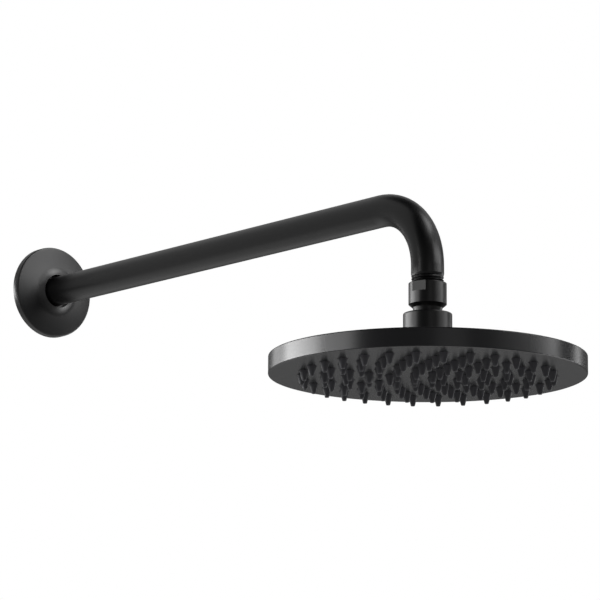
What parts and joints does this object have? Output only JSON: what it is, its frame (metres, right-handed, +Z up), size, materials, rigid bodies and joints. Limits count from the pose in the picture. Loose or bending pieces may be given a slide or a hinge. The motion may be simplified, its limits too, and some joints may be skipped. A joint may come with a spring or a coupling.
{
  "type": "wall-mounted shower arm with rain head",
  "caption": "Matt black shower arm: a straight horizontal tube from a round wall flange, a right-angle bend and a slim round rain head with rings of soft nozzles on a ball joint.",
  "frame": {"origin": "on the arm's axis at the wall plane, in the middle of the flange's back face", "axes": "+Z up, +Y into the wall, the arm runs out along -Y, +X to the right for someone facing the wall"},
  "size_m": [0.2032, 0.526, 0.1546],
  "materials": {
    "black_metal": "matt black powder coat on brass",
    "black_shell": "matt black lacquer on moulded ABS",
    "brass": "turned, uncoated",
    "silicone": "black silicone, smooth moulded",
    "seal_rubber": "black EPDM rubber",
    "acetal": "natural white acetal",
    "grey_abs": "grey moulded ABS",
    "steel": "stainless steel"
  },
  "bodies": {
    "arm": {"arm_tube": "black_metal", "wall_nipple": "brass", "outlet_nipple": "brass", "ball_connector": "black_metal", "inlet_washer": "seal_rubber", "filter_screen": "steel", "flow_regulator": "acetal", "regulator_o_ring": "seal_rubber"},
    "flange": {"wall_flange": "black_metal", "flange_o_ring": "seal_rubber", "flange_gasket": "seal_rubber"},
    "pitch_ring": {"upper_ball_seat": "acetal"},
    "roll_ring": {"lower_ball_seat": "acetal", "ball_seal_ring": "seal_rubber"},
    "head": {"swivel_collar": "black_metal", "head_boss": "brass", "boss_o_ring": "seal_rubber", "boss_lock_nut": "brass", "top_cover": "black_shell", "cover_seal": "seal_rubber", "flow_spreader": "grey_abs", "clamp_plate": "grey_abs", "clamp_screws": "steel", "nozzle_ring_1": "silicone", "nozzle_ring_2": "silicone", "nozzle_ring_3": "silicone", "nozzle_ring_4": "silicone", "nozzle_ring_5": "silicone", "nozzle_ring_6": "silicone", "face_plate": "black_shell"}
  },
  "joints": [
    {"name": "flange_slide", "type": "slide", "parent": "arm", "child": "flange", "axis": [0, -1, 0], "range_m": [0, 0.25]},
    {"name": "head_pitch", "type": "hinge", "parent": "arm", "child": "pitch_ring", "pos_m": [0, -0.4064, -0.0846], "axis": [1, 0, 0], "range_deg": [-10, 10]},
    {"name": "head_roll", "type": "hinge", "parent": "pitch_ring", "child": "roll_ring", "pos_m": [0, -0.4064, -0.0846], "axis": [0, 1, 0], "range_deg": [-10, 10]},
    {"name": "head_spin", "type": "hinge", "parent": "roll_ring", "child": "head", "pos_m": [0, -0.4064, -0.0846], "axis": [0, 0, 1], "continuous": true}
  ]
}
